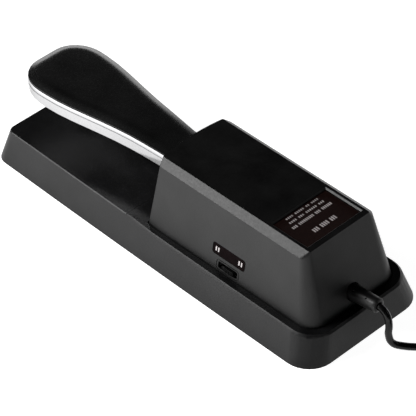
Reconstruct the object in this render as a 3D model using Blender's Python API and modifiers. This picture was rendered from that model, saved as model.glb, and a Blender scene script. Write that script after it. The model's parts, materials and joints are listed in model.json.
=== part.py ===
"""Sustain pedal for an electronic keyboard.

Frame: +Z up, Y along the length. The foot end points at -Y, the cord leaves at +Y and the
polarity slide is on the +X side. Lengths in this file are millimetres, scaled by MM.
"""

import math

import bmesh
import bpy
from mathutils import Matrix, Vector

MM = 0.001
GAP = 0.3

# Base casing
HALF_LENGTH = 125.4
BOTTOM_Z = 0.1
DECK_Z = 18.7
BASE_HALF_WIDTH = 44.1
BASE_TAPER = 1.94
BASE_BOW = 0.76
SIDE_LEAN = 6.25
FRONT_LEAN = 4.9
REAR_LEAN = 4.0
FRONT_RADIUS = 9.0
DECK_FRONT_RADIUS = 5.0
REAR_RADIUS = 16.0
BASE_WALL = 2.6
CEILING_Z = 14.6
LEDGE_Z = 17.6
RAMP_START_Y = -17.5
RAMP_END_Y = 0.0
LIP = 0.95

# Housing
FOOT_Z = 16.8
SHOULDER_Z = 55.7
TOP_Z = 59.1
HOUSING_HALF = 33.7
SHOULDER_HALF = 26.9
TOP_HALF = 22.7
HOUSING_WALL = 2.5
HOUSING_CEILING_Z = 56.4
SIDE_TILT = math.atan(0.1754)
LABEL_HALF = 20.1
LABEL_FRONT_Y = 72.9
LABEL_REAR_Y = 98.1
LABEL_DEPTH = 1.9

# Foot lever and hinge
HINGE_Y = 40.0
HINGE_Z = 42.0
PLATE = 1.5
TOE_TOP_Z = 49.6
NECK_TOP_Z = 48.1
SKIRT = 8.8
TOE_RISE = 2.4
PIVOT_SKIRT_Z = 36.4
TAIL_Y = 58.0
NECK_HALF = 12.4
AXLE_RADIUS = 2.5
CHEEK_X = 17.0
STOP_HALF = 12.6

# Switches
PLUNGER_Y = 25.0
SPRING_Y = 14.0
KNOB_Y = 54.5
SLIDE_Z = 21.4

# Cord
CORD_RADIUS = 2.05
EXIT_Y = 132.0
EXIT_Z = 25.9
COIL_CENTRE = (-22.0, 200.0)
COIL_RADIUS = 24.0
COIL_HALF_WIDE = 8.0
PLUG_CENTRE = (-34.0, 252.0)
PLUG_AXIS_Z = 6.9

BASE_SCREWS = [(30.0, -104.0), (33.0, 0.0), (32.0, 105.0)]
HOUSING_SCREWS = [(25.5, 3.0), (25.5, 96.0)]
BRACKET_SCREWS = [(14.5, 8.0), (14.5, 51.0)]
BOARD_SCREWS = [(24.5, 44.5), (24.5, 63.5)]

MATERIALS = {}


# Scene and objects


def clear_scene():
    for item in list(bpy.data.objects):
        bpy.data.objects.remove(item, do_unlink=True)


def add_collection(name, hidden):
    collection = bpy.data.collections.new(name)
    bpy.context.scene.collection.children.link(collection)
    collection.hide_render = hidden
    return collection


def add_material(name, colour, roughness, metallic):
    material = bpy.data.materials.new(name)
    material.use_nodes = True
    shader = material.node_tree.nodes["Principled BSDF"]
    shader.inputs["Base Color"].default_value = (*colour, 1.0)
    shader.inputs["Roughness"].default_value = roughness
    shader.inputs["Metallic"].default_value = metallic
    return material


def add_empty(name, position):
    empty = bpy.data.objects.new(name, None)
    empty.location = Vector(position) * MM
    parts.objects.link(empty)
    return empty


def place(name, mesh, origin, kind, parent, turn):
    """Links a mesh at its origin: a visible part where kind names a material, else a cutter."""
    item = bpy.data.objects.new(name, mesh)
    item.location = Vector(origin) * MM
    item.rotation_euler = turn
    if kind:
        mesh.materials.append(MATERIALS[kind].copy())
        mesh.materials[0].name = name
        parts.objects.link(item)
    else:
        item.hide_render = True
        item.display_type = "WIRE"
        cutters.objects.link(item)
    if parent:
        item.parent = parent
        item.location = item.location - parent.location
    return item


def from_bmesh(name, shape, origin, kind, parent, turn=(0, 0, 0)):
    mesh = bpy.data.meshes.new(name)
    bmesh.ops.recalc_face_normals(shape, faces=shape.faces)
    bmesh.ops.transform(shape, matrix=Matrix.Scale(MM, 4), verts=shape.verts)
    shape.to_mesh(mesh)
    shape.free()
    return place(name, mesh, origin, kind, parent, turn)


def box(name, low, high, kind=None, parent=None, origin=None, turn=(0, 0, 0)):
    """A block between two corners, or centred sizes about an origin that has been given."""
    low = Vector(low)
    high = Vector(high)
    middle = (low + high) / 2
    shift = Vector((0, 0, 0)) if origin else -middle
    shape = bmesh.new()
    size = Matrix.Diagonal((*(high - low), 1.0))
    bmesh.ops.create_cube(shape, size=1.0, matrix=Matrix.Translation(middle + shift) @ size)
    return from_bmesh(name, shape, origin or middle, kind, parent, turn)


def peg(name, centre, radius, length, kind=None, axis="Z", steps=20, parent=None, tip_radius=None):
    """A cylinder or cone about its centre."""
    shape = bmesh.new()
    bmesh.ops.create_cone(
        shape,
        cap_ends=True,
        segments=steps,
        radius1=radius,
        radius2=radius if tip_radius is None else tip_radius,
        depth=length,
    )
    turn = {"Z": (0, 0, 0), "X": (0, math.pi / 2, 0), "Y": (-math.pi / 2, 0, 0)}[axis]
    return from_bmesh(name, shape, centre, kind, parent, turn)


def turned(name, profile, origin, kind, turn=(0, 0, 0), steps=24, parent=None, ring=False):
    """A piece turned about local Z. The profile runs top to bottom on its outer side."""
    mesh = bpy.data.meshes.new(name)
    edges = [(i, i + 1) for i in range(len(profile) - 1)]
    if ring:
        edges.append((len(profile) - 1, 0))
    mesh.from_pydata([(r * MM, 0.0, z * MM) for r, z in profile], edges, [])
    item = place(name, mesh, origin, kind, parent, turn)
    screw = item.modifiers.new("turn", "SCREW")
    screw.axis = "Z"
    screw.steps = steps
    screw.render_steps = steps
    screw.use_merge_vertices = True
    screw.merge_threshold = 0.00002
    return item


def tube(name, points, radius, kind, origin=(0, 0, 0), parent=None):
    """A wire or cord with filled ends along world points."""
    curve = bpy.data.curves.new(name, "CURVE")
    curve.dimensions = "3D"
    curve.bevel_depth = radius * MM
    curve.bevel_resolution = 2
    curve.use_fill_caps = True
    spline = curve.splines.new("POLY")
    spline.points.add(len(points) - 1)
    for target, point in zip(spline.points, points):
        target.co = (*((Vector(point) - Vector(origin)) * MM), 1.0)
    curve.materials.append(MATERIALS[kind].copy())
    item = bpy.data.objects.new(name, curve)
    item.location = Vector(origin) * MM
    parts.objects.link(item)
    if parent:
        item.parent = parent
        item.location = item.location - parent.location
    return item


def combine(body, tool, operation):
    modifier = body.modifiers.new(tool.name, "BOOLEAN")
    modifier.operation = operation
    modifier.solver = "EXACT"
    modifier.object = tool


def cut(body, tool):
    combine(body, tool, "DIFFERENCE")


def join(body, tool):
    combine(body, tool, "UNION")


# Plan outlines and lofts


def smooth_step(low, high, value):
    share = min(max((value - low) / (high - low), 0.0), 1.0)
    return share * share * (3 - 2 * share)


def smooth_curve(points, per_span):
    """Points of a smooth curve that passes through every given point."""
    knots = [Vector(p) for p in points]
    knots = [2 * knots[0] - knots[1]] + knots + [2 * knots[-1] - knots[-2]]
    found = []
    for a, b, c, d in zip(knots, knots[1:], knots[2:], knots[3:]):
        for step in range(per_span):
            t = step / per_span
            found.append(
                0.5 * (2 * b + (c - a) * t + (2 * a - 5 * b + 4 * c - d) * t ** 2
                       + (3 * b - a - 3 * c + d) * t ** 3)
            )
    found.append(knots[-2])
    return found


def inset(right, distance):
    """The right half of an outline moved inwards, square to itself."""
    moved = []
    for i, point in enumerate(right):
        before = right[i - 1] if i else Vector((-point.x, point.y))
        after = right[i + 1] if i + 1 < len(right) else Vector((-point.x, point.y))
        first = (point - before).normalized()
        second = (after - point).normalized()
        along = (first + second).normalized()
        inward = Vector((-along.y, along.x))
        moved.append(point + inward * distance / max(along.dot(first), 0.5))
    return moved


def loft(name, rings, kind=None, origin=(0, 0, 0), parent=None):
    """A closed body through rings, each a right half outline and its height or height function."""
    points = []
    count = 2 * len(rings[0][0])
    for right, height in rings:
        level = height if callable(height) else (lambda y, fixed=height: fixed)
        half = [Vector((p.x, p.y, level(p.y))) for p in right]
        whole = half + [Vector((-p.x, p.y, p.z)) for p in reversed(half)]
        points += [(p - Vector(origin)) * MM for p in whole]
    faces = []
    for ring in range(len(rings) - 1):
        for i in range(count):
            here = ring * count + i
            beside = ring * count + (i + 1) % count
            faces.append((here, beside, beside + count, here + count))
    last = (len(rings) - 1) * count
    for i in range(count // 2 - 1):
        strip = (i, i + 1, count - 2 - i, count - 1 - i)
        faces.append(tuple(reversed(strip)))
        faces.append(tuple(last + corner for corner in strip))
    mesh = bpy.data.meshes.new(name)
    mesh.from_pydata(points, [], faces)
    return place(name, mesh, origin, kind, parent, (0, 0, 0))


def base_half_width(y):
    share = y / HALF_LENGTH
    return BASE_HALF_WIDTH + BASE_TAPER * share - BASE_BOW * share ** 2


def corner(centre_x, centre_y, radius, start, steps):
    """Points of a quarter circle, anticlockwise from the start angle in degrees."""
    angles = [math.radians(start + 90 * i / steps) for i in range(steps + 1)]
    return [
        Vector((centre_x + radius * math.cos(a), centre_y + radius * math.sin(a))) for a in angles
    ]


def base_outline(z, move=0.0, front_y=None, steps=8):
    """The right half of the base's outline at a height, grown by move."""
    share = z / DECK_Z
    lean = SIDE_LEAN * share - move
    front = -HALF_LENGTH + FRONT_LEAN * share - move if front_y is None else front_y
    rear = HALF_LENGTH - REAR_LEAN * share + move
    front_radius = FRONT_RADIUS + (DECK_FRONT_RADIUS - FRONT_RADIUS) * share + move
    if front_y is not None:
        front_radius = 0.5
    front_radius = max(front_radius, 0.5)
    rear_radius = max(REAR_RADIUS + move, 1.0)
    front_x = base_half_width(front + front_radius) - lean - front_radius
    rear_x = base_half_width(rear - rear_radius) - lean - rear_radius
    right = corner(front_x, front + front_radius, front_radius, -90, steps)
    start = front + front_radius
    end = rear - rear_radius
    stations = [RAMP_START_Y, RAMP_END_Y] if front_y is not None else [-60.0, -20.0]
    stations += [20.0, 60.0]
    for y in stations:
        if start + 1 < y < end - 1:
            right.append(Vector((base_half_width(y) - lean, y)))
    right += corner(rear_x, end, rear_radius, 0, steps)
    return right


def housing_outline(half, front_corner, bow, rear, rear_radius, move=0.0):
    """The right half of the housing's outline: bowed at the front, rounded at the rear."""
    half = half + move
    front_corner = front_corner - move
    rear = rear + move
    rear_radius = max(rear_radius + move, 0.4)
    right = []
    for share in (0.12, 0.35, 0.6, 0.82):
        right.append(Vector((half * share, front_corner - bow * (1 - share ** 2))))
    nose = 0.5
    right.append(Vector((half - nose, front_corner)))
    right.append(Vector((half, front_corner + nose)))
    right.append(Vector((half, 40.0)))
    right += corner(half - rear_radius, rear - rear_radius, rear_radius, 0, 7)
    return right


def housing_ring(z, move=0.0):
    """The housing's outline at a height between its foot and the top."""
    if z <= SHOULDER_Z:
        share = (z - FOOT_Z) / (SHOULDER_Z - FOOT_Z)
        half = HOUSING_HALF + (SHOULDER_HALF - HOUSING_HALF) * share
        front = -7.4 + 2.4 * share
        bow = 2.7 + 0.7 * share
        radius = 10.0 - 5.0 * share
    else:
        share = (z - SHOULDER_Z) / (TOP_Z - SHOULDER_Z)
        half = SHOULDER_HALF + (TOP_HALF - SHOULDER_HALF) * share
        front = -5.0 - 1.6 * share
        bow = 3.4 - 1.6 * share
        radius = 5.0 - 4.0 * share
    rear = 115.9 - 0.319 * (z - FOOT_Z)
    return housing_outline(half, front, bow, rear, radius, move)


def lever_top(y):
    """Height of the lever's plate: level under the foot, lower at the neck."""
    return TOE_TOP_Z + (NECK_TOP_Z - TOE_TOP_Z) * smooth_step(-44, -6, y)


def cap_height(y, rise):
    """Height of the tread cap's crown, thicker under the foot than at the neck."""
    thinning = 1.0 - 0.35 * smooth_step(-60, 0, y)
    return lever_top(y) + GAP + (rise - GAP) * thinning


def lever_bottom(y):
    """Height of the skirt's lower edge, which rises at the toe and drops round the pivot."""
    skirt_z = lever_top(y) - SKIRT + TOE_RISE * (1 - smooth_step(-124, -98, y))
    pivot = smooth_step(25, 33, y) * (1 - smooth_step(46, 51, y))
    return skirt_z + (PIVOT_SKIRT_Z - skirt_z) * pivot


def lever_outline(end_y):
    """The right half of the foot lever's plan, from the toe to a straight end."""
    toe_x, toe_y, reach_x, reach_y = 7.0, -105.0, 17.2, 20.0
    right = []
    for step in range(9):
        angle = math.radians(90 * step / 8)
        right.append(Vector((toe_x + reach_x * math.sin(angle), toe_y - reach_y * math.cos(angle))))
    sides = [(24.15, -100), (23.5, -90), (22.1, -80), (20.3, -70), (18.5, -60), (16.9, -50)]
    sides += [(15.6, -40), (14.5, -30), (13.5, -20), (12.8, -10), (NECK_HALF, 0)]
    sides += [(NECK_HALF, y) for y in (10, 25, 28, 30.5, 33, 46, 48, 51)]
    right += [Vector(p) for p in sides if p[1] < end_y - 1]
    last = right[-1].x
    right.append(Vector((last, end_y - 0.8)))
    right.append(Vector((last - 0.8, end_y)))
    return right


# Base


def mirrored(places):
    return [(side * x, y) for x, y in places for side in (1, -1)]


def build_base():
    inner = [base_outline(CEILING_Z, -BASE_WALL), base_outline(BOTTOM_Z, -BASE_WALL)]
    deck_chamfer = 0.4
    rings = [(inner[0], CEILING_Z), (inner[1], BOTTOM_Z), (base_outline(BOTTOM_Z), BOTTOM_Z)]
    rings += [(base_outline(DECK_Z - deck_chamfer), DECK_Z - deck_chamfer)]
    rings += [(base_outline(DECK_Z, -deck_chamfer), DECK_Z)]
    casing = loft("base_casing", rings, "black_plastic")
    build_base_bosses(casing)
    cut(casing, build_ledge_cutter())
    cut(casing, build_groove_cutter())
    cut(casing, box("mechanism_opening", (-19.5, 2, 10), (19.5, 60, 25)))
    for n, (x, y) in enumerate(mirrored(HOUSING_SCREWS)):
        cut(casing, peg(f"housing_screw_way_{n}", (x, y, 15), 1.7, 10, steps=12))
    for n, (x, y) in enumerate(BOARD_SCREWS):
        cut(casing, peg(f"board_screw_way_{n}", (x, y, 16), 1.4, 8, steps=12))


def build_base_bosses(casing):
    boss_low = 5.0
    for n, (x, y) in enumerate(mirrored(BASE_SCREWS)):
        boss = peg(f"base_boss_{n}", (x, y, (boss_low + 15.2) / 2), 4, 15.2 - boss_low, steps=16)
        join(casing, boss)
    for n, (x, y) in enumerate(mirrored(BASE_SCREWS)):
        cut(casing, peg(f"base_pilot_{n}", (x, y, 8.5), 1.45, 9, steps=12))


def build_ledge_cutter():
    """Lowers the casing round the housing, with a bevelled lip and a ramp up to the deck."""
    rise = DECK_Z - LEDGE_Z
    start = RAMP_START_Y - 3.0

    def height(y):
        share = (RAMP_END_Y - y) / (RAMP_END_Y - RAMP_START_Y)
        return LEDGE_Z + rise * max(share, 0.0)

    drop = 1.6
    rings = [
        (base_outline(LEDGE_Z, -LIP, start), height),
        (base_outline(LEDGE_Z, drop - LIP, start - 0.1), lambda y: height(y) - drop),
        (base_outline(LEDGE_Z, 2.5, start - 0.2), DECK_Z + 4.0),
    ]
    return loft("ledge_cutter", rings)


def build_groove_cutter():
    """A closed channel in the casing that takes the housing's foot."""
    low, high = LEDGE_Z - 1.2, DECK_Z + 2.0
    outer = housing_ring(FOOT_Z, 0.5)
    inner = housing_ring(FOOT_Z, -HOUSING_WALL - 0.5)
    block = loft("groove_cutter", [(outer, low), (outer, high)])
    core = loft("groove_core", [(inner, low - 1.0), (inner, high + 1.0)])
    cut(block, core)
    return block


def build_underside():
    mat_low = base_outline(2.4, -BASE_WALL - GAP)
    mat = loft("rubber_mat", [(mat_low, 0.0), (mat_low, 2.4)], "rubber")
    plate_line = base_outline(5.0, -BASE_WALL - GAP)
    plate = loft("ballast_plate", [(plate_line, 2.7), (plate_line, 4.7)], "zinc_steel")
    for n, (x, y) in enumerate(mirrored(BASE_SCREWS)):
        cut(mat, peg(f"mat_hole_{n}", (x, y, 1), 3.6, 6, steps=16))
        cut(plate, peg(f"plate_hole_{n}", (x, y, 3.7), 1.5, 6, steps=12))
        screw_up(f"base_screw_{n + 1}", x, y, 1.0, 2.4, 12.0, 3.0, 1.1)
    for n, (x, y) in enumerate(mirrored(BRACKET_SCREWS)):
        cut(plate, peg(f"plate_bracket_hole_{n}", (x, y, 3.7), 1.4, 6, steps=12))


def screw_up(name, x, y, low, seat, tip, head_radius, shaft_radius):
    """A screw whose head is at the bottom."""
    drive = head_radius * 0.45
    profile = [(0, tip), (shaft_radius * 0.5, tip), (shaft_radius, tip - 1.2)]
    profile += [(shaft_radius, seat), (head_radius, seat), (head_radius, low + 0.4)]
    profile += [(head_radius - 0.4, low), (drive, low), (drive * 0.7, low + 0.8), (0, low + 0.8)]
    turned(name, [(r, z - seat) for r, z in profile], (x, y, seat), "screw_steel", steps=12)


def screw_down(name, x, y, high, seat, tip, head_radius, shaft_radius):
    """A screw whose head is on top."""
    drive = head_radius * 0.45
    profile = [(0, high - 0.8), (drive * 0.7, high - 0.8), (drive, high), (head_radius - 0.4, high)]
    profile += [(head_radius, high - 0.4), (head_radius, seat), (shaft_radius, seat)]
    profile += [(shaft_radius, tip + 1.0), (shaft_radius * 0.5, tip), (0, tip)]
    turned(name, [(r, z - seat) for r, z in profile], (x, y, seat), "screw_steel", steps=12)


# Housing


def side_block(name, y_low, y_high, z_low, z_high, depth_in, depth_out, radius, kind=None):
    """A round-cornered block square to the housing's leaning +X side, by its heights there."""
    middle_z = (z_low + z_high) / 2
    half_tall = (z_high - z_low) / 2 / math.cos(SIDE_TILT)
    x = 33.56 - 0.1754 * (middle_z - 17.64)
    curve = bpy.data.curves.new(name, "CURVE")
    curve.dimensions = "2D"
    curve.fill_mode = "BOTH"
    curve.extrude = (depth_in + depth_out) / 2 * MM
    half_long = (y_high - y_low) / 2
    points = []
    centres = [(1, 1), (-1, 1), (-1, -1), (1, -1)]
    for n, (a, b) in enumerate(centres):
        points += corner(a * (half_long - radius), b * (half_tall - radius), radius, 90 * n, 4)
    spline = curve.splines.new("POLY")
    spline.points.add(len(points) - 1)
    for target, point in zip(spline.points, points):
        target.co = (point.x * MM, point.y * MM, 0.0, 1.0)
    spline.use_cyclic_u = True
    flat = bpy.data.objects.new(name + "_outline", curve)
    cutters.objects.link(flat)
    graph = bpy.context.evaluated_depsgraph_get()
    mesh = bpy.data.meshes.new_from_object(flat.evaluated_get(graph))
    bpy.data.objects.remove(flat, do_unlink=True)
    shape = bmesh.new()
    shape.from_mesh(mesh)
    bmesh.ops.remove_doubles(shape, verts=shape.verts, dist=1e-6)
    bmesh.ops.recalc_face_normals(shape, faces=shape.faces)
    # The outline's X runs along world Y, its Y up the wall and its Z out of the wall.
    out = Vector((math.cos(SIDE_TILT), 0, math.sin(SIDE_TILT)))
    up = Vector((-math.sin(SIDE_TILT), 0, math.cos(SIDE_TILT)))
    along = Vector((0, 1, 0))
    turn = Matrix((along, up, out)).transposed().to_4x4()
    middle = Vector((x, (y_low + y_high) / 2, middle_z)) + out * (depth_out - depth_in) / 2
    bmesh.ops.transform(shape, matrix=turn, verts=shape.verts)
    shape.to_mesh(mesh)
    shape.free()
    mesh.name = name
    return place(name, mesh, middle, kind, None, (0, 0, 0))


def build_label_cutter():
    """A shallow tray in the top with bevelled edges."""

    def plan(grow):
        x = LABEL_HALF + grow
        return [Vector((x, LABEL_FRONT_Y - grow)), Vector((x, LABEL_REAR_Y + grow))]

    bevel = 0.8
    rings = [(plan(0), TOP_Z - LABEL_DEPTH), (plan(0), TOP_Z - bevel), (plan(bevel), TOP_Z)]
    rings += [(plan(bevel), TOP_Z + 5)]
    return loft("label_tray", rings)


def build_housing():
    move = -HOUSING_WALL
    rings = [
        (housing_ring(HOUSING_CEILING_Z, move), HOUSING_CEILING_Z),
        (housing_ring(SHOULDER_Z - 2.0, move), SHOULDER_Z - 2.0),
        (housing_ring(FOOT_Z, move), FOOT_Z),
        (housing_ring(FOOT_Z), FOOT_Z),
        (housing_ring(SHOULDER_Z), SHOULDER_Z),
        (housing_ring(TOP_Z), TOP_Z),
    ]
    housing = loft("top_housing", rings, "satin_black")
    boss_low, boss_high = LEDGE_Z + GAP, 38.0
    for n, (x, y) in enumerate(mirrored(HOUSING_SCREWS)):
        middle = (boss_low + boss_high) / 2
        join(housing, peg(f"housing_boss_{n}", (x, y, middle), 3.5, boss_high - boss_low, steps=16))
    for n, (x, y) in enumerate(mirrored(HOUSING_SCREWS)):
        cut(housing, peg(f"housing_pilot_{n}", (x, y, 24), 1.7, 14, steps=12))
        screw_up(f"housing_screw_{n + 1}", x, y, 12.2, 14.2, 29.0, 3.0, 1.35)
    cut(housing, box("lever_opening", (-14.6, -20, 32.5), (14.6, 2, 52)))
    cut(housing, build_label_cutter())
    rim_line = side_block("slide_rim_line", 44.3, 61.2, 18.3, 24.6, 0.5, 3.0, 2.0)
    cut(rim_line, side_block("slide_rim", 44.75, 60.75, 18.75, 24.15, 4.0, 6.0, 1.6))
    cut(housing, rim_line)
    cut(housing, side_block("slide_pocket", 45.7, 59.9, 19.5, 23.5, 1.8, 3.0, 1.0))
    cut(housing, side_block("slide_slot", 46.4, 59.4, 20.3, 22.9, 6.0, 3.0, 0.5))
    cut(housing, side_block("legend_recess", 40.2, 64.3, 26.4, 33.3, 0.8, 3.0, 1.5))
    relief_hole = peg("cord_hole", (0, 112.5, 24.2), 5.2, 16, axis="Y", steps=24)
    cut(housing, relief_hole)
    low = (-LABEL_HALF + GAP, LABEL_FRONT_Y + GAP, TOP_Z - LABEL_DEPTH + GAP)
    high = (LABEL_HALF - GAP, LABEL_REAR_Y - GAP, TOP_Z - LABEL_DEPTH + 0.75)
    box("rating_label", low, high, "label_brown")
    side_block("switch_legend_plate", 40.5, 64.0, 26.7, 33.0, 0.5, -0.05, 1.2, "label_brown")


# Foot lever and hinge


def build_lever(hinge):
    outline = lever_outline(TAIL_Y)
    inner = inset(outline, PLATE)
    crease = inset(outline, 0.8)
    rings = [
        (inner, lambda y: lever_top(y) - PLATE),
        (inner, lever_bottom),
        (outline, lever_bottom),
        (outline, lambda y: lever_top(y) - 3.1),
        (crease, lambda y: lever_top(y) - 2.75),
        (outline, lambda y: lever_top(y) - 2.4),
        (outline, lambda y: lever_top(y) - 0.5),
        (inset(outline, 0.15), lambda y: lever_top(y) - 0.15),
        (inset(outline, 0.5), lever_top),
    ]
    origin = (0, HINGE_Y, HINGE_Z)
    lever = loft("pedal_lever", rings, "chrome", origin, hinge)
    bore = peg("lever_bore", (0, HINGE_Y, HINGE_Z), 3.6, 40, axis="X", steps=20, parent=hinge)
    cut(lever, bore)
    pad = lever_outline(1.0)
    # Distance in from the lever's edge, and height over its plate under the foot.
    crown = [(0.4, GAP), (0.4, 0.65), (1.4, 1.09), (2.4, 1.51), (3.4, 1.9), (4.4, 2.23)]
    crown += [(5.4, 2.47), (6.6, 2.62), (8.6, 2.68)]
    cap_rings = [
        (inset(pad, distance), lambda y, rise=rise: cap_height(y, rise)) for distance, rise in crown
    ]
    loft("tread_cap", cap_rings, "tread_black", origin, hinge)
    for side, name in ((1, "left"), (-1, "right")):
        # A sleeve through the lever's cheek and a collar that fills the space to the bracket.
        profile = [(2.8, 6.7), (4.6, 6.7), (4.6, 2.75), (3.3, 2.75), (3.3, 0.0), (2.8, 0.0)]
        turned(
            f"pivot_bush_{name}",
            profile,
            (side * 10.0, HINGE_Y, HINGE_Z),
            "nylon_white",
            (0, side * math.pi / 2, 0),
            parent=hinge,
            ring=True,
        )


def build_bracket():
    floor_low, floor_high, sheet = 5.0, 6.5, 1.5
    side = CHEEK_X + sheet
    bracket = box("hinge_bracket", (-side, 3, floor_low), (side, 59, floor_high), "zinc_steel")
    for n, sign in enumerate((1, -1)):
        low, high = sorted((sign * CHEEK_X, sign * side))
        cheek = box(f"cheek_{n}", (low, 30, floor_low + 0.5), (high, 50, 48))
        join(bracket, cheek)
    join(bracket, box("front_tab", (-12, 4.3, floor_low + 0.5), (12, 5.8, 32.8)))
    join(bracket, box("rear_tab", (-12, 54.2, floor_low + 0.5), (12, 55.7, 36.8)))
    cut(bracket, peg("axle_way", (0, HINGE_Y, HINGE_Z), AXLE_RADIUS + GAP, 50, axis="X", steps=20))
    for n, (x, y) in enumerate(mirrored(BRACKET_SCREWS)):
        cut(bracket, peg(f"bracket_hole_{n}", (x, y, 6), 1.4, 6, steps=12))
        screw_down(f"bracket_screw_{n + 1}", x, y, 8.6, floor_high + GAP, 2.9, 2.6, 1.1)
    box("down_stop_pad", (-STOP_HALF, 3.3, 33.1), (STOP_HALF, 7.3, 35.0), "rubber")
    up_stop_high = NECK_TOP_Z - SKIRT - GAP
    box("up_stop_pad", (-STOP_HALF, 52.6, 37.1), (STOP_HALF, 57.4, up_stop_high), "rubber")
    build_axle(side)


def build_axle(side):
    end, groove = side + 2.6, side + GAP + 0.2
    waist = AXLE_RADIUS - 0.5
    half = [(0, end), (2.1, end), (AXLE_RADIUS, end - 0.4), (AXLE_RADIUS, groove + 1.4)]
    half += [(waist, groove + 1.4), (waist, groove), (AXLE_RADIUS, groove)]
    profile = half + [(r, -z) for r, z in reversed(half)]
    position = (0, HINGE_Y, HINGE_Z)
    turned("pivot_axle", profile, position, "bright_steel", (0, math.pi / 2, 0), steps=20)
    for sign, name in ((1, "left"), (-1, "right")):
        ring = [(2.3, 0.4), (4.3, 0.4), (4.3, -0.4), (2.3, -0.4)]
        place_x = sign * (groove + 0.7)
        centre = (place_x, HINGE_Y, HINGE_Z)
        turn = (0, math.pi / 2, 0)
        turned(f"axle_clip_{name}", ring, centre, "bright_steel", turn, steps=20, ring=True)


def build_spring():
    low, high, wire = 9.2, NECK_TOP_Z - PLATE - GAP, 0.65
    turns, coil = 9, 5.4
    seat = [(0, 11.6), (3.2, 11.6), (4.0, 10.8), (4.0, 8.3), (8.0, 8.3), (8.0, 6.8), (0, 6.8)]
    turned("spring_seat", [(r, z - 6.8) for r, z in seat], (0, SPRING_Y, 6.8), "nylon_white")
    steps = turns * 12
    start = low + wire
    end = high - wire
    points = []
    for i in range(steps + 1):
        share = i / steps
        # The end turns lie nearly flat.
        rise = smooth_step(0.0, 1.0, share) * 0.25 + share * 0.75
        angle = 2 * math.pi * turns * share
        x = coil * math.cos(angle)
        y = SPRING_Y + coil * math.sin(angle)
        points.append((x, y, start + (end - start) * rise))
    tube("return_spring", points, wire, "spring_steel", (0, SPRING_Y, start))


def build_microswitch():
    body_low, body_high = 32.6, 42.6
    holder = box("switch_holder", (-8, 22.6, 6.8), (8, 37.4, 9.2), "grey_plastic")
    join(holder, box("holder_column", (-4.4, 24.4, 8.5), (4.4, 35.2, body_low - GAP)))
    body = box("microswitch_body", (-3.3, 21.6, body_low), (3.3, 35.6, body_high), "switch_black")
    way = peg("plunger_way", (0, PLUNGER_Y, 41), 1.5, 7, steps=16)
    cut(body, way)
    top = NECK_TOP_Z - PLATE - GAP
    profile = [(0, top), (0.7, top), (1.2, top - 0.5), (1.2, 39.6), (0, 39.6)]
    slide = add_empty("plunger_slide", (0, PLUNGER_Y, 40.0))
    turned(
        "microswitch_plunger",
        [(r, z - 40.0) for r, z in profile],
        (0, PLUNGER_Y, 40.0),
        "switch_red",
        steps=16,
        parent=slide,
    )


# Polarity switch and wiring


def build_polarity_switch():
    board = box("switch_board", (19.9, 42, 17.9), (28.3, 66, 19.5), "board_green")
    for n, (x, y) in enumerate(BOARD_SCREWS):
        cut(board, peg(f"board_hole_{n}", (x, y, 19), 1.4, 6, steps=12))
        screw_down(f"board_screw_{n + 1}", x, y, 21.3, 19.8, 15.2, 2.1, 1.1)
    body = box("polarity_switch_body", (20.4, 47.2, 19.8), (27.8, 60.8, 24.6), "bright_steel")
    cut(body, box("stem_way", (25.4, 48.2, 20.6), (30, 59.8, 23.4)))
    slide = add_empty("polarity_slide", (30, KNOB_Y, SLIDE_Z))
    low_y, high_y = KNOB_Y - 3.4, KNOB_Y + 3.4
    origin = (31.0, KNOB_Y, SLIDE_Z)
    size = Vector((31.5, low_y, 19.9)), Vector((34.2, high_y, 23.1))
    shape = bmesh.new()
    middle = (size[0] + size[1]) / 2 - Vector(origin)
    block = Matrix.Diagonal((*(size[1] - size[0]), 1.0))
    bmesh.ops.create_cube(shape, size=1.0, matrix=Matrix.Translation(middle) @ block)
    bmesh.ops.bevel(shape, geom=shape.edges[:], offset=0.4, segments=2, affect="EDGES", profile=0.5)
    knob = from_bmesh("polarity_knob", shape, origin, "knob_black", slide)
    stem = box("knob_stem", (26.0, KNOB_Y - 2, 20.9), (32, KNOB_Y + 2, 22.5), parent=slide)
    join(knob, stem)
    # A shutter behind the wall closes the slot at both ends of the travel.
    shutter = box("knob_shutter", (28.6, 45.7, 18.0), (29.5, 64.5, 23.9), parent=slide)
    join(knob, shutter)
    for n in range(3):
        y = KNOB_Y + (n - 1) * 1.9
        ridge = box(f"knob_ridge_{n}", (33.8, y - 0.4, 20.5), (34.5, y + 0.4, 22.5), parent=slide)
        join(knob, ridge)


def build_wires():
    to_board = [(2.0, 97.5, 23.0), (8.0, 88.0, 20.6), (17.0, 78.0, 20.6), (24.5, 70.0, 20.8)]
    to_board += [(26.5, 66.6, 21.0)]
    tube("board_wire", smooth_curve(to_board, 5), 0.8, "wire_red")
    to_switch = [(-2.0, 97.5, 23.0), (-9.0, 84.0, 20.6), (-14.6, 66.0, 20.8), (-14.6, 54.0, 22.5)]
    to_switch += [(-11.0, 45.0, 30.0), (-5.0, 39.5, 34.0), (-1.5, 37.4, 35.0), (0.0, 36.2, 35.0)]
    tube("switch_wire", smooth_curve(to_switch, 5), 0.8, "wire_black")


# Cord


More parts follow.
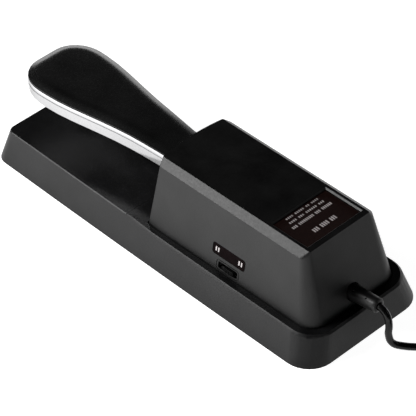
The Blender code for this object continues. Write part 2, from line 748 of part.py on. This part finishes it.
def build_cord():
    relief_tilt = math.atan2(EXIT_Z - 23.9, EXIT_Y - 110)
    profile = [(2.4, 21.8), (3.2, 21.8), (3.9, 21.4), (4.2, 20.6), (4.3, 19.0), (4.6, 8.0)]
    profile += [(4.6, 1.0), (4.2, 0.5), (4.2, -2.2), (5.7, -2.2), (5.7, -4.6), (2.4, -4.6)]
    relief = turned(
        "cable_strain_relief",
        profile,
        (0, 110, 23.9),
        "cord_rubber",
        (relief_tilt - math.pi / 2, 0, 0),
        ring=True,
    )
    for n, y in enumerate((115.7, 124.6)):
        axis_z = 23.9 + math.tan(relief_tilt) * (y - 110)
        centre = (2.9, y, axis_z + 3.7)
        cut(relief, peg(f"relief_dimple_{n}", centre, 0.65, 1.2, steps=12))
    start_y = 100.5
    start_z = EXIT_Z - math.tan(relief_tilt) * (EXIT_Y - start_y)
    coil_x, coil_y = COIL_CENTRE
    reach = COIL_RADIUS + COIL_HALF_WIDE + CORD_RADIUS + GAP
    floor_z = CORD_RADIUS + 0.15
    route = [(0, start_y, start_z), (0, 110, 23.9), (0, 121, 24.9), (0, 129.6, 25.68)]
    route += [(0, 132.6, 25.75), (0, 137.1, 23.3), (0.1, 139.2, 17.4), (0.1, 139.3, 10.4)]
    route += [(-1.6, 141.0, 4.6)]
    route += [(-6.0, 145.0, floor_z), (-12.0, 152.5, floor_z), (-15.8, 160.0, floor_z)]
    route += [(coil_x + 0.5, coil_y - reach, floor_z)]
    tube("cord_tube", smooth_curve(route, 3), CORD_RADIUS, "cord_rubber")
    build_coil()
    tail = [(coil_x, coil_y + reach, floor_z), (-13.5, 234.5, floor_z), (-5.0, 234.9, 2.4)]
    tail += [(1.1, 237.4, 3.0), (3.6, 243.4, 4.1), (1.1, 249.4, 5.4), (-5.0, 251.9, 6.4)]
    tail += [(-10.0, 252.0, 6.85), (-13.6, 252.0, PLUG_AXIS_Z)]
    tube("cord_tail", smooth_curve(tail, 3), CORD_RADIUS, "cord_rubber")
    build_plug()


def build_coil():
    """The wound length of the cord as one ring."""
    half_wide, half_tall, round_off = COIL_HALF_WIDE, 6.1, 3.2
    middle_z = half_tall + 0.1
    outline = []
    centres = [(1, 1), (1, -1), (-1, -1), (-1, 1)]
    for n, (a, b) in enumerate(centres):
        for step in range(4):
            angle = math.radians(90 - 90 * n - 90 * step / 3)
            r = COIL_RADIUS + a * (half_wide - round_off) + round_off * math.cos(angle)
            z = b * (half_tall - round_off) + round_off * math.sin(angle)
            outline.append((r, z))
    place_at = (*COIL_CENTRE, middle_z)
    turned("cord_coil", outline, place_at, "cord_rubber", steps=32, ring=True)


def build_plug():
    """A straight 6.35 mm phone plug that lies along X, its tip at -X."""
    x, y = PLUG_CENTRE
    turn = (0, -math.pi / 2, 0)
    sections = {
        "plug_boot": (
            "cord_rubber",
            [(0, 0), (4.9, 0), (4.9, -3), (4.0, -8), (3.2, -20), (0, -20)],
        ),
        "plug_barrel": (
            "plug_black",
            [(0, 24.3), (5.2, 24.3), (6.4, 22.5), (6.4, 2), (5.8, 0.3), (0, 0.3)],
        ),
        "plug_shank": ("nickel", [(0, 44.6), (3.17, 44.6), (3.17, 24.6), (0, 24.6)]),
        "plug_insulator": ("nylon_white", [(0, 46.3), (3.17, 46.3), (3.17, 44.9), (0, 44.9)]),
        "plug_tip": (
            "nickel",
            [(0, 54.6), (1.2, 54.2), (3.0, 51.6), (3.0, 51.0), (2.2, 50.2), (3.17, 48.0)]
            + [(3.17, 46.6), (0, 46.6)],
        ),
    }
    for name, (kind, profile) in sections.items():
        turned(name, profile, (x, y, PLUG_AXIS_Z), kind, turn)


clear_scene()
parts = add_collection("sustain_pedal", False)
cutters = add_collection("cutters", True)
for slot, colour, roughness, metallic in (
    ("black_plastic", (0.02, 0.02, 0.022), 0.55, 0.0),
    ("satin_black", (0.018, 0.018, 0.02), 0.45, 0.0),
    ("tread_black", (0.02, 0.02, 0.02), 0.5, 0.0),
    ("chrome", (0.9, 0.9, 0.91), 0.08, 1.0),
    ("rubber", (0.03, 0.03, 0.03), 0.85, 0.0),
    ("zinc_steel", (0.55, 0.57, 0.58), 0.4, 1.0),
    ("bright_steel", (0.7, 0.7, 0.72), 0.25, 1.0),
    ("screw_steel", (0.35, 0.35, 0.36), 0.35, 1.0),
    ("spring_steel", (0.5, 0.5, 0.52), 0.3, 1.0),
    ("nylon_white", (0.8, 0.79, 0.75), 0.5, 0.0),
    ("grey_plastic", (0.25, 0.26, 0.27), 0.5, 0.0),
    ("switch_black", (0.03, 0.03, 0.03), 0.4, 0.0),
    ("switch_red", (0.6, 0.04, 0.03), 0.4, 0.0),
    ("board_green", (0.04, 0.2, 0.07), 0.4, 0.0),
    ("label_brown", (0.03, 0.015, 0.012), 0.4, 0.0),
    ("knob_black", (0.015, 0.015, 0.015), 0.5, 0.0),
    ("wire_red", (0.5, 0.03, 0.02), 0.5, 0.0),
    ("wire_black", (0.02, 0.02, 0.02), 0.5, 0.0),
    ("cord_rubber", (0.02, 0.02, 0.02), 0.6, 0.0),
    ("plug_black", (0.02, 0.02, 0.02), 0.35, 0.0),
    ("nickel", (0.75, 0.74, 0.7), 0.2, 1.0),
):
    MATERIALS[slot] = add_material(slot, colour, roughness, metallic)

pedal_hinge = add_empty("pedal_hinge", (0, HINGE_Y, HINGE_Z))
build_base()
build_underside()
build_housing()
build_lever(pedal_hinge)
build_bracket()
build_spring()
build_microswitch()
build_polarity_switch()
build_wires()
build_cord()
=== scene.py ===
"""Looks of the sustain pedal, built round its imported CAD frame.

Sizes of the object are millimetres, scaled by MM. The camera, the lights and the floor are in
metres, angles are degrees and an azimuth of 0 looks from -Y, 90 from +X.
"""

import json
import math

import bmesh
import bpy
from mathutils import Matrix, Vector


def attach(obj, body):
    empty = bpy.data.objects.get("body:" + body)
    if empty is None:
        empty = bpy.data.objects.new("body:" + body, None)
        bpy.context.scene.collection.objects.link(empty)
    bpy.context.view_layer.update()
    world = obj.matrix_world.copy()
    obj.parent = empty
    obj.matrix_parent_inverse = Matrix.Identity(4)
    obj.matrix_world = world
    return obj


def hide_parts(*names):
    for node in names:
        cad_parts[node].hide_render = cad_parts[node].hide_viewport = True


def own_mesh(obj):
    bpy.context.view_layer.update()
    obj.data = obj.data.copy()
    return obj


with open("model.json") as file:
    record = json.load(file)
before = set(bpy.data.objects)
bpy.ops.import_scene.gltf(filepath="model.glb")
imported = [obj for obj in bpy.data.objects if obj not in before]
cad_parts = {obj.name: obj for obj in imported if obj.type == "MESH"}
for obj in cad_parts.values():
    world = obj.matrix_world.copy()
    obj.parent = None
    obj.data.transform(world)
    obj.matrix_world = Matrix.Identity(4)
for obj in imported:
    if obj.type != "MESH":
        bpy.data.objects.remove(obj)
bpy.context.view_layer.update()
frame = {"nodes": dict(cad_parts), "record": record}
nodes = frame["nodes"]

MM = 0.001

# Casing: the label's face, and the foot (X, Z) and slope of the box's side
LABEL_FILM_Z = 57.95
SIDE_SLOPE = 0.1754
SIDE_FOOT = (33.56, 17.64)

# Return spring
SPRING_Y = 14.0
SPRING_LOW = 9.2
SPRING_HIGH = 46.3
SPRING_WIRE_RADIUS = 0.65
SPRING_RADIUS = 5.4
SPRING_TURNS = 9

# Cord: its radius, its resting height on the floor, and where it leaves the box
CORD_RADIUS = 2.05
FLOOR_Z = 2.2
EXIT = (0.0, 110.0, 23.9)
EXIT_SLOPE = 2.0 / 22.0

# Coil: centre (X, Y), pitch of the turns, radii, height of the lowest layer, angles swept
COIL_CENTRE = (-22.0, 200.0)
COIL_REACH = 34.35
TURN_PITCH = 4.12
OUTER_TURN = 30.18
COIL_LOW = 2.5
COIL_START = -100.0
COIL_SWEEP = 3770.0

# Camera
TARGET = Vector((0.01168, 0.01668, 0.030))
AZIMUTH = 135.22
ELEVATION = 40.95
DISTANCE = 1.53232
LENS = 245.5


def direction(azimuth, elevation):
    a = math.radians(azimuth)
    e = math.radians(elevation)
    return Vector((math.sin(a) * math.cos(e), -math.cos(a) * math.cos(e), math.sin(e)))


def make_camera():
    data = bpy.data.cameras.new("camera")
    data.sensor_width = 36.0
    data.lens = LENS
    data.clip_start = 0.05
    data.clip_end = 20.0
    camera = bpy.data.objects.new("camera", data)
    back = direction(AZIMUTH, ELEVATION)
    camera.location = TARGET + back * DISTANCE
    camera.rotation_euler = (-back).to_track_quat("-Z", "Y").to_euler()
    bpy.context.scene.collection.objects.link(camera)
    bpy.context.scene.camera = camera


# Materials


def new_material(name):
    material = bpy.data.materials.new(name)
    material.use_nodes = True
    tree = material.node_tree
    shader = tree.nodes["Principled BSDF"]
    return material, tree, shader


def add_node(tree, kind, inputs=None, **settings):
    node = tree.nodes.new(kind)
    for key, value in settings.items():
        setattr(node, key, value)
    for key, value in (inputs or {}).items():
        node.inputs[key].default_value = value
    return node


def object_coordinates(tree):
    return add_node(tree, "ShaderNodeTexCoord").outputs["Object"]


def noise(tree, scale, detail=2.0, rough=0.5):
    node = add_node(
        tree, "ShaderNodeTexNoise", {"Scale": scale, "Detail": detail, "Roughness": rough}
    )
    tree.links.new(object_coordinates(tree), node.inputs["Vector"])
    return node.outputs["Fac"]


def ramp(tree, value, stops):
    """A colour ramp between two (position, colour) stops."""
    node = add_node(tree, "ShaderNodeValToRGB")
    for element, (position, colour) in zip(node.color_ramp.elements, stops):
        element.position = position
        element.color = (*colour, 1.0)
    tree.links.new(value, node.inputs["Fac"])
    return node.outputs["Color"]


def map_range(tree, value, low, high):
    node = add_node(tree, "ShaderNodeMapRange", {"To Min": low, "To Max": high})
    tree.links.new(value, node.inputs["Value"])
    return node.outputs["Result"]


def level_share(tree, amount):
    """The amount on faces that look straight up, none on sloping ones."""
    split = add_node(tree, "ShaderNodeSeparateXYZ")
    normal = add_node(tree, "ShaderNodeTexCoord").outputs["Normal"]
    tree.links.new(normal, split.inputs["Vector"])
    share = add_node(
        tree, "ShaderNodeMapRange", {"From Min": 0.85, "From Max": 0.97, "To Max": amount}
    )
    tree.links.new(split.outputs["Z"], share.inputs["Value"])
    return share.outputs["Result"]


def add_values(tree, first, second):
    node = add_node(tree, "ShaderNodeMath", operation="ADD")
    tree.links.new(first, node.inputs[0])
    tree.links.new(second, node.inputs[1])
    return node.outputs[0]


def bump(tree, shader, height, strength, distance):
    node = add_node(tree, "ShaderNodeBump", {"Strength": strength, "Distance": distance})
    tree.links.new(height, node.inputs["Height"])
    tree.links.new(node.outputs["Normal"], shader.inputs["Normal"])


def moulded_plastic(
    name, colour, roughness, grain_scale, grain_depth, ior=1.5, wear=0.4, smoother_top=0.0
):
    """Moulding with a fine spark-eroded grain, uneven gloss and maybe smoother level faces."""
    material, tree, shader = new_material(name)
    shader.inputs["IOR"].default_value = ior
    mottled = noise(tree, 60.0, 3.0)
    low = tuple(c * (1 - wear) for c in colour)
    high = tuple(c * (1 + wear) for c in colour)
    tree.links.new(ramp(tree, mottled, [(0.3, low), (0.7, high)]), shader.inputs["Base Color"])
    cloudy = noise(tree, 700.0, 3.0, 0.7)
    gloss = map_range(tree, cloudy, roughness - 0.08, roughness + 0.08)
    if smoother_top:
        gloss = add_values(tree, gloss, level_share(tree, -smoother_top))
    tree.links.new(gloss, shader.inputs["Roughness"])
    grain = noise(tree, grain_scale, 2.0, 0.6)
    bump(tree, shader, grain, 1.0, grain_depth)
    return material


def metal(name, colour, roughness, texture=0.0):
    """Plated or bright steel, faintly clouded, with a fine texture where it isn't polished."""
    material, tree, shader = new_material(name)
    shader.inputs["Metallic"].default_value = 1.0
    grain = noise(tree, 900.0, 3.0, 0.6)
    low = tuple(c * 0.9 for c in colour)
    tree.links.new(ramp(tree, grain, [(0.3, low), (0.7, colour)]), shader.inputs["Base Color"])
    gloss = map_range(tree, noise(tree, 40.0, 4.0), roughness * 0.7, roughness * 1.4)
    tree.links.new(gloss, shader.inputs["Roughness"])
    if texture:
        bump(tree, shader, grain, texture, 0.00003)
    return material


def printed_film(name, colour, roughness, ior=1.5):
    """Smooth film or ink, slightly speckled and never quite flat."""
    material, tree, shader = new_material(name)
    shader.inputs["IOR"].default_value = ior
    speck = noise(tree, 500.0, 2.0)
    low = tuple(c * 0.7 for c in colour)
    tree.links.new(ramp(tree, speck, [(0.35, low), (0.65, colour)]), shader.inputs["Base Color"])
    shader.inputs["Roughness"].default_value = roughness
    bump(tree, shader, noise(tree, 220.0, 2.0), 0.3, 0.00002)
    return material


make_camera()
bpy.context.scene.view_settings.view_transform = "Standard"

# A material for each slot of the record, and a few that differ within a slot
LOOKS = {
    "black_plastic": moulded_plastic(
        "base_black", (0.0045, 0.0045, 0.0047), 0.44, 950.0, 0.00006, ior=1.31, smoother_top=0.22
    ),
    "satin_black": moulded_plastic(
        "housing_black", (0.0045, 0.0045, 0.0045), 0.42, 950.0, 0.000045, ior=1.31, smoother_top=0.2
    ),
    "tread_black": moulded_plastic(
        "tread_black", (0.003, 0.003, 0.003), 0.26, 1100.0, 0.00001, ior=1.45
    ),
    "chrome": metal("lever_chrome", (0.42, 0.42, 0.425), 0.08),
    "rubber": moulded_plastic("mat_rubber", (0.01, 0.01, 0.01), 0.8, 900.0, 0.0001),
    "zinc_steel": metal("zinc_plate", (0.55, 0.57, 0.58), 0.4, 0.3),
    "bright_steel": metal("bright_steel", (0.7, 0.7, 0.72), 0.25, 0.2),
    "screw_steel": metal("screw_steel", (0.3, 0.3, 0.31), 0.35, 0.2),
    "spring_steel": metal("spring_steel", (0.5, 0.5, 0.52), 0.3, 0.2),
    "nylon_white": moulded_plastic("nylon", (0.75, 0.74, 0.7), 0.5, 900.0, 0.00002, wear=0.05),
    "grey_plastic": moulded_plastic(
        "grey_moulding", (0.2, 0.21, 0.22), 0.5, 1200.0, 0.00003, wear=0.08
    ),
    "switch_black": moulded_plastic("switch_black", (0.01, 0.01, 0.01), 0.35, 900.0, 0.00001),
    "switch_red": moulded_plastic("switch_red", (0.55, 0.03, 0.02), 0.35, 900.0, 0.00001, wear=0.1),
    "board_green": moulded_plastic(
        "board_green", (0.03, 0.16, 0.06), 0.35, 900.0, 0.00001, wear=0.2
    ),
    "label_brown": printed_film("label_film", (0.0085, 0.0038, 0.0033), 0.42, ior=1.14),
    "legend_film": printed_film("legend_film", (0.004, 0.0022, 0.0024), 0.55, ior=1.06),
    "knob_black": moulded_plastic(
        "knob_black", (0.002, 0.002, 0.002), 0.5, 1500.0, 0.00002, ior=1.1
    ),
    "wire_red": moulded_plastic("wire_red", (0.45, 0.02, 0.015), 0.4, 900.0, 0.00001, wear=0.1),
    "wire_black": moulded_plastic("wire_black", (0.01, 0.01, 0.01), 0.4, 900.0, 0.00001),
    "cord_rubber": moulded_plastic(
        "cord_jacket", (0.002, 0.002, 0.002), 0.24, 1200.0, 0.00001, ior=1.3
    ),
    "relief_rubber": moulded_plastic(
        "relief_rubber", (0.005, 0.005, 0.005), 0.42, 1200.0, 0.00002, ior=1.38
    ),
    "plug_black": moulded_plastic("plug_black", (0.008, 0.008, 0.008), 0.35, 1500.0, 0.00002),
    "nickel": metal("nickel_plate", (0.75, 0.73, 0.68), 0.15),
    "print_white": printed_film("print_white", (0.4, 0.37, 0.37), 0.5),
}


def add_modifier(item, name, kind, **settings):
    modifier = item.modifiers.new(name, kind)
    for key, value in settings.items():
        setattr(modifier, key, value)
    return modifier


def shade_smooth(item):
    for face in item.data.polygons:
        face.use_smooth = True


# Nodes whose look differs from their slot's, and bevel widths of the edges seen close by
OWN_LOOKS = {"cable_strain_relief": "relief_rubber", "switch_legend_plate": "legend_film"}
BROKEN_EDGES = {"base_casing": 1.0, "top_housing": 0.4, "polarity_knob": 0.15, "rating_label": 0.1}


def finish_cad_nodes():
    """Gives every solid its material, and rounded or crisp edges."""
    for subpart in frame["record"]["subparts"]:
        name = subpart["node"]
        item = nodes[name]
        item.data.materials.clear()
        item.data.materials.append(LOOKS[OWN_LOOKS.get(name, subpart["material_slot"])])
        shade_smooth(item)
        add_modifier(item, "weld", "WELD", merge_threshold=0.000002)
        if name in BROKEN_EDGES:
            add_modifier(
                item,
                "broken_edges",
                "BEVEL",
                width=BROKEN_EDGES[name] * MM,
                segments=2,
                limit_method="ANGLE",
                angle_limit=math.radians(30),
                miter_outer="MITER_ARC",
            )
            add_modifier(item, "face_weights", "WEIGHTED_NORMAL", weight=80)
        else:
            add_modifier(item, "split", "EDGE_SPLIT", split_angle=math.radians(32))


def add_mesh(name, points, faces, look, smooth=True):
    """A new piece from points in metres, which rides on the base."""
    mesh = bpy.data.meshes.new(name)
    mesh.from_pydata(points, [], faces)
    mesh.validate()
    mesh.materials.append(look)
    item = bpy.data.objects.new(name, mesh)
    bpy.context.scene.collection.objects.link(item)
    if smooth:
        shade_smooth(item)
    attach(item, "base")
    return item


# Cord


def smooth_step(low, high, value):
    share = min(max((value - low) / (high - low), 0.0), 1.0)
    return share * share * (3 - 2 * share)


def coil_radius_and_height(swept):
    """Where the winding lies after so many degrees: in and out across three layers."""
    # Each crossing takes 22 degrees on either side of its middle.
    half = 22
    radius, height = OUTER_TURN, COIL_LOW
    for middle in (360, 720, 1080, 3240):
        radius -= TURN_PITCH * smooth_step(middle - half, middle + half, swept)
    for middle in (1800, 2160, 2520):
        radius += TURN_PITCH * smooth_step(middle - half, middle + half, swept)
    for middle in (1395, 2835, 3550):
        height += TURN_PITCH * smooth_step(middle - half, middle + half, swept)
    # The last turn leaves the top layer outwards and comes down to the floor.
    last_radius = OUTER_TURN - TURN_PITCH
    radius += (COIL_REACH - last_radius) * smooth_step(3590, 3690, swept)
    height += (FLOOR_Z - COIL_LOW - 3 * TURN_PITCH) * smooth_step(3660, COIL_SWEEP, swept)
    return radius, height


def coil_points():
    """The turns, clockwise seen from above, 14 points to each."""
    step = 360 / 14
    found = []
    count = int(COIL_SWEEP / step)
    for i in range(count):
        swept = COIL_SWEEP * i / count
        radius, height = coil_radius_and_height(swept)
        angle = math.radians(COIL_START - swept)
        x = COIL_CENTRE[0] + radius * math.cos(angle)
        y = COIL_CENTRE[1] + radius * math.sin(angle)
        found.append((x, y, height))
    return found


def cord_points():
    """The whole route: out of the box, down to the floor, round the coil and to the plug."""
    inside = 9.5
    start = (0, EXIT[1] - inside, EXIT[2] - inside * EXIT_SLOPE)
    to_coil = [start, EXIT, (0, 121, 24.9), (0, 129.6, 25.68)]
    to_coil += [(0, 132.6, 25.75), (0, 137.1, 23.3), (0.1, 139.2, 17.4), (0.1, 139.3, 10.4)]
    to_coil += [(-1.6, 141.0, 4.6), (-6.0, 145.0, FLOOR_Z), (-12.0, 152.5, FLOOR_Z)]
    to_coil += [(-15.8, 160.0, FLOOR_Z), (-20.6, 167.2, FLOOR_Z + 0.1)]
    to_plug = [(COIL_CENTRE[0], COIL_CENTRE[1] + COIL_REACH, FLOOR_Z), (-13.5, 234.5, FLOOR_Z)]
    to_plug += [(-5.0, 234.9, 2.4), (1.1, 237.4, 3.0), (3.6, 243.4, 4.1), (1.1, 249.4, 5.4)]
    to_plug += [(-5.0, 251.9, 6.4), (-10.0, 252.0, 6.85), (-13.6, 252.0, 6.9)]
    return to_coil + coil_points() + to_plug


def build_cord(look):
    """One soft curve through the route's points, in place of the CAD's three cord solids."""
    points = cord_points()
    curve = bpy.data.curves.new("cord", "CURVE")
    curve.dimensions = "3D"
    curve.bevel_depth = CORD_RADIUS * MM
    curve.bevel_resolution = 3
    curve.resolution_u = 4
    curve.use_fill_caps = True
    spline = curve.splines.new("BEZIER")
    spline.bezier_points.add(len(points) - 1)
    for knot, point in zip(spline.bezier_points, points):
        knot.co = Vector(point) * MM
        knot.handle_left_type = "AUTO"
        knot.handle_right_type = "AUTO"
    curve.materials.append(look)
    cord = bpy.data.objects.new("cord", curve)
    bpy.context.scene.collection.objects.link(cord)
    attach(cord, "base")
    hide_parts("cord_tube", "cord_coil", "cord_tail")
    return cord


def build_coil_tie(look):
    """A narrow strap drawn round all the turns at one place on the coil."""
    inner = OUTER_TURN - 3 * TURN_PITCH
    top = COIL_LOW + 2 * TURN_PITCH
    hold = CORD_RADIUS + 0.12
    # Turns that the strap bends round: radius, height, first and last angle of contact.
    corners = [
        (inner, COIL_LOW, 180, 270),
        (OUTER_TURN, COIL_LOW, 270, 360),
        (OUTER_TURN, top, 0, 90),
        (OUTER_TURN - TURN_PITCH, top, 90, 117),
        (inner, COIL_LOW + TURN_PITCH, 117, 180),
    ]
    section = []
    for r, z, start, end in corners:
        for step in range(5):
            angle = math.radians(start + (end - start) * step / 4)
            section.append((r + hold * math.cos(angle), z + hold * math.sin(angle)))
    turn = math.radians(20)
    along = Vector((-math.sin(turn), math.cos(turn), 0))
    out = Vector((math.cos(turn), math.sin(turn), 0))
    middle = Vector((*COIL_CENTRE, 0))
    widths = (-3.2, -2.9, 2.9, 3.2)
    drops = (-0.06, 0.0, 0.0, -0.06)
    points = []
    for width, drop in zip(widths, drops):
        for r, z in section:
            points.append((middle + out * (r + drop) + along * width + Vector((0, 0, z))) * MM)
    count = len(section)
    faces = []
    for row in range(len(widths) - 1):
        for i in range(count):
            here, beside = row * count + i, row * count + (i + 1) % count
            faces.append((here, beside, beside + count, here + count))
    coil_tie = add_mesh("coil_tie", points, faces, look)
    add_modifier(coil_tie, "thickness", "SOLIDIFY", thickness=0.35 * MM, offset=1.0)
    return coil_tie


# Return spring


def build_spring(look):
    """The compression spring under the lever, as one fixed coil."""
    start, end = SPRING_LOW + SPRING_WIRE_RADIUS, SPRING_HIGH - SPRING_WIRE_RADIUS
    around, along = 8, 24
    total = SPRING_TURNS * along
    points, faces = [], []
    for i in range(total + 1):
        share = i / total
        rise = smooth_step(0.0, 1.0, share) * 0.25 + share * 0.75
        angle = 2 * math.pi * SPRING_TURNS * share
        outward = Vector((math.cos(angle), math.sin(angle), 0))
        centre = Vector((0, SPRING_Y, start + (end - start) * rise)) + outward * SPRING_RADIUS
        for k in range(around):
            turn = 2 * math.pi * k / around
            aside = outward * math.cos(turn) + Vector((0, 0, math.sin(turn)))
            points.append((centre + aside * SPRING_WIRE_RADIUS) * MM)
        if i:
            for k in range(around):
                a, b = (i - 1) * around + k, (i - 1) * around + (k + 1) % around
                faces.append((a, b, b + around, a + around))
    faces.append(tuple(reversed(range(around))))
    faces.append(tuple(range(total * around, (total + 1) * around)))
    spring = add_mesh("coil_spring", points, faces, look)
    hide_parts("return_spring")
    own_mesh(spring)


# Printed marks


def bar_points(length, width, height, rounding, steps=4):
    """A flat bar with round corners, as a top and a bottom loop."""
    loop = []
    a, b = length / 2 - rounding, width / 2 - rounding
    for n, (sx, sy) in enumerate(((1, 1), (-1, 1), (-1, -1), (1, -1))):
        for step in range(steps + 1):
            angle = math.radians(90 * n + 90 * step / steps)
            loop.append((sx * a + rounding * math.cos(angle), sy * b + rounding * math.sin(angle)))
    return [(x, y, 0.0) for x, y in loop] + [(x, y, height) for x, y in loop]


def print_marks(name, marks, place, look):
    """Thin printed bars: marks holds the middle, length and width of each in the film's plane."""
    points, faces = [], []
    for u, v, length, width in marks:
        first = len(points)
        shape = bar_points(length, width, 0.02, min(length, width) * 0.35)
        points += [place @ Vector((u + x, v + y, z)) * MM for x, y, z in shape]
        count = len(shape) // 2
        faces.append(tuple(range(first + count, first + 2 * count)))
        faces.append(tuple(reversed(range(first, first + count))))
        for i in range(count):
            a, b = first + i, first + (i + 1) % count
            faces.append((a, b, b + count, a + count))
    add_mesh(name, points, faces, look, smooth=False)


def build_label_print(look):
    """Rows of small plain dashes in place of the maker's print."""
    widest_step = 1.82
    # Row centre, half length, height of a dash, dashes between gaps, share of the pitch filled.
    rows = [
        (74.9, 12.2, 1.3, (4, 2, 5, 4), 0.55),
        (78.3, 13.1, 1.4, (3, 6, 3, 4), 0.55),
        (82.2, 14.8, 1.9, (6, 3, 9, 3), 0.6),
        (91.2, 8.6, 2.9, (3, 4, 3), 0.62),
    ]
    marks = []
    for y, half, height, words, filled in rows:
        total = sum(words) + len(words) - 1
        step = 2 * half / total
        x = -half + step / 2
        for word in words:
            for _ in range(word):
                marks.append((x, y, min(step, widest_step) * filled, height))
                x += step
            x += step
    print_marks("label_print", marks, Matrix.Translation((0, 0, LABEL_FILM_Z + 0.01)), look)


def build_legend_print(look):
    """A pair of plain bars at each end of the small plate over the slide."""
    tilt = math.atan(SIDE_SLOPE)
    out = Vector((math.cos(tilt), 0, math.sin(tilt)))
    up = Vector((-math.sin(tilt), 0, math.cos(tilt)))
    middle_y, middle_z, sunk = 52.25, 29.85, 0.04
    side_x = SIDE_FOOT[0] - SIDE_SLOPE * (middle_z - SIDE_FOOT[1])
    surface = Vector((side_x, middle_y, middle_z)) - out * sunk
    turn = Matrix((Vector((0, 1, 0)), up, out)).transposed().to_4x4()
    place = Matrix.Translation(surface) @ turn
    bar_height = 2.8
    marks = []
    for end in (-1, 1):
        for offset, length in ((7.6, 1.0), (9.4, 0.9)):
            marks.append((end * offset, 0.0, length, bar_height))
    print_marks("legend_print", marks, place, look)


finish_cad_nodes()
cord = build_cord(LOOKS["cord_rubber"])
tie = build_coil_tie(LOOKS["switch_black"])
on_cord = ["cable_strain_relief", "plug_boot", "plug_barrel", "plug_shank", "plug_insulator"]
on_cord += ["plug_tip"]
build_spring(LOOKS["spring_steel"])
build_label_print(LOOKS["print_white"])
build_legend_print(LOOKS["print_white"])


# Studio

# The floor glows: from dim to bright between two places along X, in metres.
FLOOR_GRADIENT = (0.03, 0.11)
FLOOR_DIM = 0.97
FLOOR_BRIGHT = 2.45
FLOOR_HALF_SIZE = 5.0
LIGHTS_AIM = (0, 0, 0.03)
# Azimuth, elevation, distance and size of the panel that the key light and its weaker twin share.
KEY_PANEL = (47, 38, 1.6, (0.7, 0.5))


def area_light(name, azimuth, elevation, distance, size, power):
    """A rectangular panel that faces the object."""
    data = bpy.data.lights.new(name, "AREA")
    data.shape = "RECTANGLE"
    data.size = size[0]
    data.size_y = size[1]
    data.energy = power
    light = bpy.data.objects.new(name, data)
    back = direction(azimuth, elevation)
    light.location = Vector(LIGHTS_AIM) + back * distance
    light.rotation_euler = (-back).to_track_quat("-Z", "Y").to_euler()
    bpy.context.scene.collection.objects.link(light)
    return light


def light_only(light, name, item, state):
    """Keeps a light on one object alone (INCLUDE), or off it alone (EXCLUDE)."""
    group = bpy.data.collections.new(name)
    group.objects.link(item)
    group.collection_objects[0].light_linking.link_state = state
    light.light_linking.receiver_collection = group


def build_world():
    world = bpy.data.worlds.new("studio")
    world.use_nodes = True
    world.node_tree.nodes["Background"].inputs["Color"].default_value = (0.012, 0.012, 0.012, 1)
    world.node_tree.nodes["Background"].inputs["Strength"].default_value = 1.0
    bpy.context.scene.world = world


def build_floor():
    shape = bmesh.new()
    bmesh.ops.create_grid(shape, x_segments=1, y_segments=1, size=FLOOR_HALF_SIZE)
    mesh = bpy.data.meshes.new("floor")
    shape.to_mesh(mesh)
    shape.free()
    floor = bpy.data.objects.new("floor", mesh)
    bpy.context.scene.collection.objects.link(floor)
    material, tree, shader = new_material("floor_white")
    shader.inputs["Base Color"].default_value = (0.35, 0.35, 0.35, 1)
    shader.inputs["Roughness"].default_value = 0.9
    shader.inputs["Specular IOR Level"].default_value = 0.0
    shader.inputs["Emission Color"].default_value = (1, 1, 1, 1)
    split = add_node(tree, "ShaderNodeSeparateXYZ")
    tree.links.new(object_coordinates(tree), split.inputs["Vector"])
    limits = {"From Min": FLOOR_GRADIENT[0], "From Max": FLOOR_GRADIENT[1]}
    limits.update({"To Min": FLOOR_DIM, "To Max": FLOOR_BRIGHT})
    glow = add_node(tree, "ShaderNodeMapRange", limits)
    tree.links.new(split.outputs["X"], glow.inputs["Value"])
    tree.links.new(glow.outputs["Result"], shader.inputs["Emission Strength"])
    mesh.materials.append(material)


def build_lights():
    lever = nodes["pedal_lever"]
    key = area_light("key", *KEY_PANEL, 34)
    light_only(key, "shaded_from_key", lever, "EXCLUDE")
    lever_key = area_light("lever_key", *KEY_PANEL, 7)
    light_only(lever_key, "lit_by_lever_key", lever, "INCLUDE")
    area_light("side", 54, 8, 1.2, (0.8, 0.25), 5)
    area_light("back", 315, 8, 1.4, (1.3, 0.34), 4.0)
    area_light("fill", 218, 32, 1.8, (0.5, 0.4), 1.0)


build_world()
build_floor()
build_lights()
